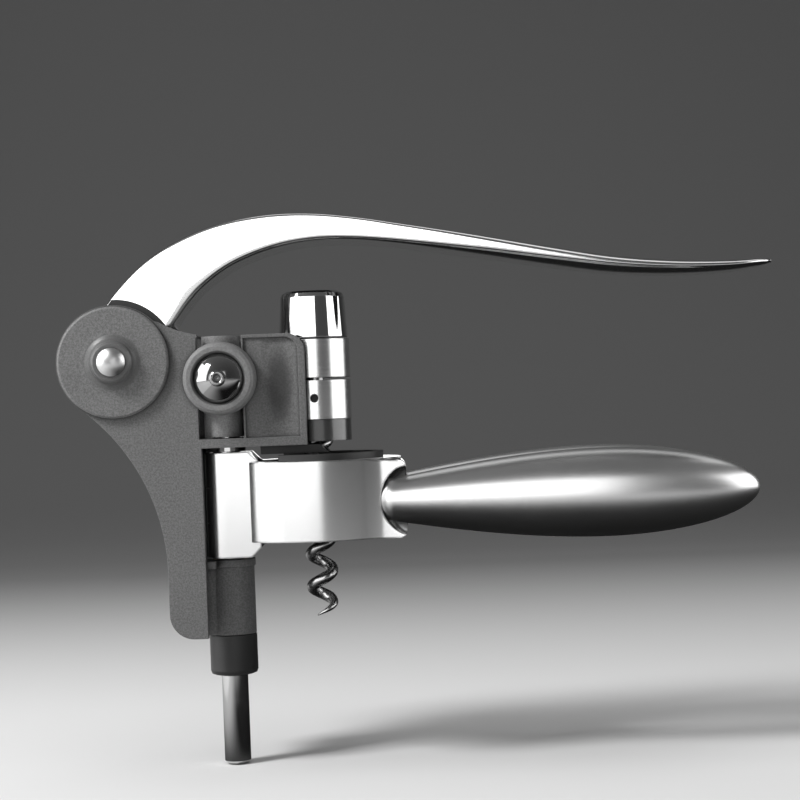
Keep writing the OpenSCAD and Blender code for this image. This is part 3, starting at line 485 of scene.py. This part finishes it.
def handle(side, sign):
    """The handle of one jaw; sign is its side along Y."""
    mesh = bmesh.new()
    bridge(mesh, [[(ROOT_OUT + u, sign * ROOT_SIDE + y, HANDLE_Z + z) for y, z in circle(r, HANDLE_SIDES)]
                  for r, u in handle_profile()])
    data = taken(object_of("grip_" + side, mesh))
    finished("grip_" + side, data, "handle", "jaw_" + side, "handle_" + side)


handle("near", -1)
handle("far", 1)


# The cross bolt: a domed head with a lipped socket

POST_X, BOLT_Z = -23.7, 20.9
BOLT_SEAT, BOLT_R, SHANK_R = 15.45, 6.2, 2.0
RIM, DOME, SOCKET_R, SOCKET_DEPTH, LIP_R = 0.6, 3.2, 0.85, 2.2, 0.56


def turned_y(name, profile, sides=96):
    """Turns (radius, y) points round the bolt's axis."""
    mesh = bmesh.new()
    bridge(mesh, [[(POST_X + x, y, BOLT_Z + z) for x, z in circle(r, sides)] for r, y in profile])
    return taken(object_of(name, mesh))


def bolt_profile():
    """(radius, y) from the socket's floor over the lip and dome to the end of the shank."""
    sphere = (BOLT_R**2 + DOME**2) / (2 * DOME)
    crown = RIM + DOME
    floor = crown - SOCKET_DEPTH
    lip = SOCKET_R + LIP_R
    points = [(0, floor - 0.4), (SOCKET_R * 0.7, floor), (SOCKET_R, floor + 0.5)]
    points += [(lip - LIP_R * math.cos(a), crown - 0.15 + LIP_R * math.sin(a))
               for a in (math.pi * k / 14 for k in range(15))]
    start = math.asin((lip + LIP_R + 0.1) / sphere)
    end = math.asin(BOLT_R / sphere)
    points += [(sphere * math.sin(a), crown - sphere + sphere * math.cos(a))
               for a in (start + (end - start) * k / 28 for k in range(29))]
    shank_end = -BOLT_SEAT * 2 - 1.6
    points += [(BOLT_R, 0.15), (BOLT_R - 0.15, 0), (SHANK_R, 0), (SHANK_R, shank_end), (0, shank_end)]
    return [(r, -BOLT_SEAT - h) for r, h in points]


finished("bolt_head", turned_y("bolt_head", bolt_profile()),
         "bolt", "carriage", "cross_bolt")


# The lever: a loft through stations, with its fork cut round the gear

PIVOT_X, PIVOT_Z = -50.5, 26.0
FORK_W, FORK_STEP, GEAR_W, GAP = 18.2, 0.5, 9.0, 0.3
HEAD_R, CHEEK_R, GEAR_TIP_R, GRIP_W = 14.6, 10.5, 14.475, 27.0
BORE_R, RIVET_R, RIVET_OUT, RIVET_ANGLES = 3.07, 1.52, 7.2, (150, 330)

# x, z, thickness, share of the grip's width, squareness
STATIONS = [
    (4.1, 8.4, 17.2, 0.67, 13), (7.2, 12.6, 17.0, 0.67, 13), (13.1, 19.3, 15.6, 0.69, 13),
    (20.1, 24.6, 13.4, 0.76, 13), (29.0, 28.95, 11.1, 0.82, 13), (40.2, 31.75, 8.8, 0.88, 12),
    (51.0, 32.6, 7.0, 0.92, 11), (62.0, 31.9, 5.8, 0.95, 10), (75.5, 29.9, 5.1, 0.97, 7),
    (94.0, 26.7, 5.0, 1.0, 4), (112.5, 23.3, 4.8, 1.0, 2.8), (128.0, 20.75, 4.5, 0.98, 2.3),
    (143.0, 19.4, 3.85, 0.92, 2.3), (157.0, 19.15, 3.0, 0.78, 2.4), (166.0, 19.75, 2.2, 0.56, 2.4),
    (169.3, 20.05, 1.3, 0.30, 2.4),
]


def lever_rows(steps=10):
    """The stations with smooth steps between them, by a cubic through four neighbours."""
    last = len(STATIONS) - 1
    rows = []
    for i in range(last):
        a, b, c, d = (STATIONS[min(max(j, 0), last)] for j in (i - 1, i, i + 1, i + 2))
        for k in range(steps):
            t = k / steps
            rows.append([0.5 * (2 * q + (r - p) * t + (2 * p - 5 * q + 4 * r - s) * t**2
                                + (3 * q - p - 3 * r + s) * t**3) for p, q, r, s in zip(a, b, c, d)])
    return rows + [list(STATIONS[-1])]


def lever_ring(rows, i, sides=88):
    """One section: a superellipse square to the lever's run, with more points at its corners."""
    x, z, thick, share, square = rows[i]
    before, after = rows[max(i - 1, 0)], rows[min(i + 1, len(rows) - 1)]
    heading = math.atan2(after[1] - before[1], after[0] - before[0])
    half = max(share * GRIP_W / 2, 0.5)
    ring = []
    for k in range(sides):
        a = 2 * math.pi * (k + 0.5) / sides
        a += 0.15 * math.sin(4 * a)
        c, s = math.cos(a), math.sin(a)
        reach = (abs(c)**square + abs(s)**square)**(-1 / square)
        t = thick / 2 * s * reach
        ring.append((PIVOT_X + x - t * math.sin(heading), half * c * reach,
                     PIVOT_Z + z + t * math.cos(heading)))
    return ring


def bar_y(name, radius, y0, y1, x=PIVOT_X, z=PIVOT_Z, sides=128):
    """A round bar along Y."""
    mesh = bmesh.new()
    bridge(mesh, [[(x + across, y, z + up) for across, up in circle(radius, sides)] for y in (y0, y1)])
    return object_of(name, mesh)


def lever():
    """The loft, with cheeks added at its root and room cut for the gear, the pin and the covers."""
    mesh = bmesh.new()
    rows = lever_rows()
    bridge(mesh, [lever_ring(rows, i) for i in range(len(rows))])
    made = object_of("lever_casting", mesh)
    step_y = FORK_W / 2 - FORK_STEP
    cheek_y = step_y + 0.2
    slot_y = GEAR_W / 2 + GAP / 2
    tools = [("UNION", bar_y("cheeks", CHEEK_R, -cheek_y, cheek_y)),
             ("DIFFERENCE", bar_y("gear_room", GEAR_TIP_R + 0.5, -slot_y, slot_y)),
             ("DIFFERENCE", bar_y("pivot_bore", BORE_R, -FORK_W, FORK_W, sides=64))]
    for side in (-1, 1):
        low, high = sorted((side * step_y, side * (step_y + 10)))
        tools.append(("DIFFERENCE", bar_y("head_step", HEAD_R + 1.5, low, high)))
    for a in (math.radians(angle) for angle in RIVET_ANGLES):
        x, z = PIVOT_X + RIVET_OUT * math.cos(a), PIVOT_Z + RIVET_OUT * math.sin(a)
        tools.append(("DIFFERENCE", bar_y("rivet_hole", RIVET_R, -FORK_W, FORK_W, x, z, 48)))
    for operation, tool in tools:
        cut = made.modifiers.new(tool.name, "BOOLEAN")
        cut.operation, cut.object, cut.solver = operation, tool, "EXACT"
    data = baked(made)
    for _, tool in tools:
        bpy.data.objects.remove(tool)
    finished("lever_casting", data, "polished", "lever", "lever_arm")
    data.materials.append(finishes["recess"])
    for face in data.polygons:
        on_step = abs(abs(face.center[1]) - step_y * MM) < 0.01 * MM
        if on_step and abs(face.normal[1]) > 0.9:
            face.material_index = 1


lever()


# The worm: a wire wound round the axis by Geometry Nodes

class Tree:
    """A Geometry Nodes tree under construction."""

    def __init__(self, name):
        self.tree = bpy.data.node_groups.new(name, "GeometryNodeTree")
        self.tree.interface.new_socket("Geometry", in_out="OUTPUT", socket_type="NodeSocketGeometry")
        self.inlet = self.tree.nodes.new("NodeGroupInput")
        self.outlet = self.tree.nodes.new("NodeGroupOutput")

    def size(self, name):
        """A named input for a length or number."""
        self.tree.interface.new_socket(name, in_out="INPUT", socket_type="NodeSocketFloat")
        return Field(self, self.inlet.outputs[name])

    def node(self, kind, settings, inputs, output=0):
        made = self.tree.nodes.new(kind)
        for key, value in settings.items():
            setattr(made, key, value)
        for key, value in inputs.items():
            if isinstance(value, Field):
                self.tree.links.new(value.socket, made.inputs[key])
            else:
                made.inputs[key].default_value = value
        return Field(self, made.outputs[output])

    def finish(self, geometry):
        self.tree.links.new(geometry.socket, self.outlet.inputs[0])

    def run(self, name, **sizes):
        """The tree's result as a plain mesh."""
        made = bpy.data.objects.new(name, bpy.data.meshes.new(name))
        bpy.context.scene.collection.objects.link(made)
        modifier = made.modifiers.new(name, "NODES")
        modifier.node_group = self.tree
        for item in self.tree.interface.items_tree:
            if item.in_out == "INPUT":
                modifier[item.identifier] = float(sizes[item.name.lower().replace(" ", "_")])
        return baked(made)


def worm_tree():
    """A line is wound round Z, thinned to a point below, and joined to its shank above."""
    t = Tree("wound_wire")
    coil, wire, pitch, depth = (t.size(n) for n in ("Coil radius", "Wire radius", "Pitch", "Depth"))
    top, turn_in, pin_z = (t.size(n) for n in ("Top", "Turn in", "Pin height"))
    shank, shank_top = t.size("Shank radius"), t.size("Shank top")
    low = t.node("ShaderNodeCombineXYZ", {}, {2: 0 - depth})
    high = t.node("ShaderNodeCombineXYZ", {}, {2: top})
    line = t.node("GeometryNodeCurvePrimitiveLine", {}, {"Start": low, "End": high})
    line = t.node("GeometryNodeResampleCurve", {}, {"Curve": line, "Count": 210})
    place = t.node("GeometryNodeInputPosition", {}, {})
    z = t.node("ShaderNodeSeparateXYZ", {}, {0: place}, 2)
    angle = math.pi / 2 + (z - pin_z) * (2 * math.pi) / pitch
    reach = coil * ((top - z) / turn_in).ramp(0.0, 1.0)
    cosine = t.node("ShaderNodeMath", {"operation": "COSINE"}, {0: angle})
    sine = t.node("ShaderNodeMath", {"operation": "SINE"}, {0: angle})
    wound = t.node("ShaderNodeCombineXYZ", {}, {0: reach * cosine, 1: reach * sine, 2: z})
    grown = 0.12 + (z + depth) / (0.55 * pitch)
    thin = t.node("ShaderNodeMath", {"operation": "MINIMUM"}, {0: grown, 1: 1.0})
    line = t.node("GeometryNodeSetPosition", {}, {"Geometry": line, "Position": wound})
    ring = t.node("GeometryNodeCurvePrimitiveCircle", {}, {"Resolution": 22, "Radius": wire})
    tube = t.node("GeometryNodeCurveToMesh", {}, {
        "Curve": line, "Profile Curve": ring, "Scale": thin, "Fill Caps": True})
    length = shank_top - top + 1.3
    bar = t.node("GeometryNodeMeshCylinder", {}, {"Vertices": 64, "Radius": shank, "Depth": length})
    middle = t.node("ShaderNodeCombineXYZ", {}, {2: shank_top - length * 0.5})
    bar = t.node("GeometryNodeTransform", {}, {"Geometry": bar, "Translation": middle})
    joined = t.node("GeometryNodeMeshBoolean", {"operation": "UNION", "solver": "EXACT"}, {"Mesh": tube})
    t.tree.links.new(bar.socket, joined.socket.node.inputs["Mesh"])
    solid = t.node("GeometryNodeRealizeInstances", {}, {"Geometry": joined})
    t.finish(t.node("GeometryNodeSetMaterial", {}, {"Geometry": solid, "Material": finishes["worm"]}))
    return t


WORM_R, WIRE_R, WORM_PITCH, WORM_DEPTH = 4.2, 1.5, 8.5, 41
HOUSING_LOW, HOUSING_H, PIN_UP = 9.6, 10, 5.4
SLEEVE_GAP, SLEEVE_H, SPIGOT_H, SHANK_UP = 0.7, 9.9, 3.6, 3.6
HOUSING_TOP = HOUSING_LOW + HOUSING_H
SPIGOT_TOP = HOUSING_TOP + SLEEVE_GAP + SLEEVE_H + SPIGOT_H
worm_data = worm_tree().run(
    "worm_wire", coil_radius=WORM_R - WIRE_R, wire_radius=WIRE_R, pitch=WORM_PITCH, depth=WORM_DEPTH,
    top=HOUSING_TOP + 0.8, turn_in=0.7 * WORM_PITCH, pin_height=HOUSING_LOW + PIN_UP,
    shank_radius=2.4, shank_top=SPIGOT_TOP + SHANK_UP)
finished("worm_wire", worm_data, "worm", "worm", "worm")


# ---------- Stage ----------

def lit_objects(names):
    return [pieces.get(name) or nodes.get(name) or bpy.data.objects[name] for name in names]


def area_light(name, azimuth, elevation, distance, width, height, radiance, only=(), spared=()):
    """A softbox round the object; azimuth 0 is the camera's side, positive to the right."""
    a, e = math.radians(azimuth), math.radians(elevation)
    middle = Vector((0.01, 0, 0.01))
    place = middle + distance * Vector((math.sin(a) * math.cos(e), -math.cos(a) * math.cos(e), math.sin(e)))
    lamp = bpy.data.lights.new(name, "AREA")
    lamp.shape = "RECTANGLE"
    lamp.size, lamp.size_y = width, height
    lamp.energy = radiance * math.pi * width * height
    made = bpy.data.objects.new(name, lamp)
    made.location = place
    made.rotation_euler = (middle - place).to_track_quat("-Z", "Y").to_euler()
    made.visible_camera = False
    bpy.context.scene.collection.objects.link(made)
    if only or spared:
        group = bpy.data.collections.new(name + "_pieces")
        for piece in lit_objects(only or spared):
            group.objects.link(piece)
        made.light_linking.receiver_collection = group
        for entry in group.collection_objects:
            entry.light_linking.link_state = "INCLUDE" if only else "EXCLUDE"


def stage_object(name, mesh, material):
    data = bpy.data.meshes.new(name)
    mesh.to_mesh(data)
    mesh.free()
    data.shade_smooth()
    data.materials.append(material)
    made = bpy.data.objects.new(name, data)
    bpy.context.scene.collection.objects.link(made)
    return made


def paper():
    """Pale paper on the floor, darker up the backdrop."""
    f = Finish("stage_paper")
    up = f.axes()[1].ramp(0.0, 0.8)
    f.set(Base_Color=f.blend(up, grey(0.7), grey(0.13)), Roughness=0.9, Specular_IOR_Level=0.1)
    return f.material


# Metres
FLOOR_HALF, SWEEP_START, SWEEP_R, BACKDROP_H = 6.0, 0.6, 0.6, 2.4
CARD = ((-0.14, -0.26), (0.9, -0.26), (0.9, 0.9), (-0.14, 0.9))


def stage():
    """A floor that sweeps up into a backdrop, and a dark card, seen only in reflections, that paints a dark
    reflection into the metal's undersides.
    """
    floor_z = cad_bounds[0][2] - 0.4 * MM
    path = [(-FLOOR_HALF, 0.0), (SWEEP_START, 0.0)]
    path += [(SWEEP_START + SWEEP_R * math.sin(a), SWEEP_R * (1 - math.cos(a)))
             for a in (math.radians(angle) for angle in range(6, 91, 6))]
    path += [(SWEEP_START + SWEEP_R, BACKDROP_H)]
    mesh = bmesh.new()
    rows = [[mesh.verts.new((x, y, floor_z + z)) for x in (-FLOOR_HALF, FLOOR_HALF)]
            for y, z in path]
    for low, high in zip(rows, rows[1:]):
        mesh.faces.new((low[0], low[1], high[1], high[0]))
    stage_object("floor", mesh, paper())
    mesh = bmesh.new()
    mesh.faces.new([mesh.verts.new((x, y, floor_z + 1 * MM)) for x, y in CARD])
    f = Finish("dark_card")
    x, y, z = f.axes()
    # painted reflection: the card is near-black under the object and floor-pale at its borders
    dark = x.ramp(-0.11, 0.0) * y.ramp(-0.26, -0.09) * y.ramp(0.6, 0.9, 1.0, 0.0)
    f.set(Base_Color=f.blend(dark, grey(0.5), grey(0.012)), Roughness=0.9, Specular_IOR_Level=0.0)
    card = stage_object("floor_card", mesh, f.material)
    card.visible_camera = card.visible_diffuse = False
    card.visible_shadow = card.visible_transmission = False


def studio_world():
    """Dim all round, and dimmest towards the camera's right."""
    world = bpy.data.worlds.new("studio")
    bpy.context.scene.world = world
    world.use_nodes = True
    nodes_of, links = world.node_tree.nodes, world.node_tree.links
    way = nodes_of.new("ShaderNodeTexCoord")
    along = nodes_of.new("ShaderNodeVectorMath")
    along.operation = "DOT_PRODUCT"
    along.inputs[1].default_value = (-0.6, 0.8, 0.0)
    fade = nodes_of.new("ShaderNodeMapRange")
    for socket, value in zip(list(fade.inputs)[1:5], (-1.0, 0.6, 0.06, 0.24)):
        socket.default_value = value
    links.new(way.outputs["Generated"], along.inputs[0])
    links.new(along.outputs["Value"], fade.inputs[0])
    links.new(fade.outputs[0], nodes_of["Background"].inputs[0])


stage()
studio_world()
plastics = ["frame_near", "frame_far", "pivot_cover_near", "pivot_cover_far", "carriage", "end_cap",
            "guide_collar_near", "guide_collar_far", "mouth_stop", "feed_nut", "bolt_head", "pivot_pin",
            "guide_post", "hinge_washer"]
jaws = ["jaw_near", "jaw_far"]
turned_away = ["bolt_head", "frame_near", "frame_far", "end_cap"] + jaws
area_light("left_softbox", -77, 16, 0.9, 1.0, 0.9, 2.6, spared=["floor"])
area_light("front_softbox", -19, 16, 1.0, 1.1, 0.95, 2.2, spared=plastics + jaws + ["floor"])
area_light("jaw_softbox", -22, 16, 1.0, 1.05, 0.95, 2.2, only=jaws)
area_light("key_lamp", -58, 42, 0.9, 0.22, 0.22, 52.0, only=plastics + ["floor"])
area_light("fill_lamp", 8, 10, 1.0, 0.6, 0.6, 0.9, only=plastics)
area_light("right_softbox", 84, 14, 0.9, 1.0, 0.8, 2.2, spared=turned_away + ["floor"])
area_light("floor_lamp", 20, 78, 1.3, 1.2, 1.2, 1.7, only=["floor", "floor_card"])
area_light("ring_light", 172, 10, 0.9, 0.5, 0.6, 2.2, only=turned_away)
area_light("back_softbox", 160, 58, 1.0, 0.9, 0.5, 0.9)


# ---------- Camera ----------

def front_camera():
    """A long lens square to the near side, with a slight roll."""
    roll = math.radians(2.2)
    camera = bpy.data.cameras.new("camera")
    camera.sensor_width = 36
    camera.lens = 90.1
    camera.clip_start = 0.01
    made = bpy.data.objects.new("camera", camera)
    right = Vector((math.cos(roll), 0, -math.sin(roll)))
    up = Vector((math.sin(roll), 0, math.cos(roll)))
    back = Vector((0, -1, 0))
    turn = Matrix((right, up, back)).transposed().to_4x4()
    made.matrix_world = Matrix.Translation((0.02184, -0.52, 0.01372)) @ turn
    bpy.context.scene.collection.objects.link(made)
    bpy.context.scene.camera = made


front_camera()
bpy.context.scene.view_settings.view_transform = "Standard"
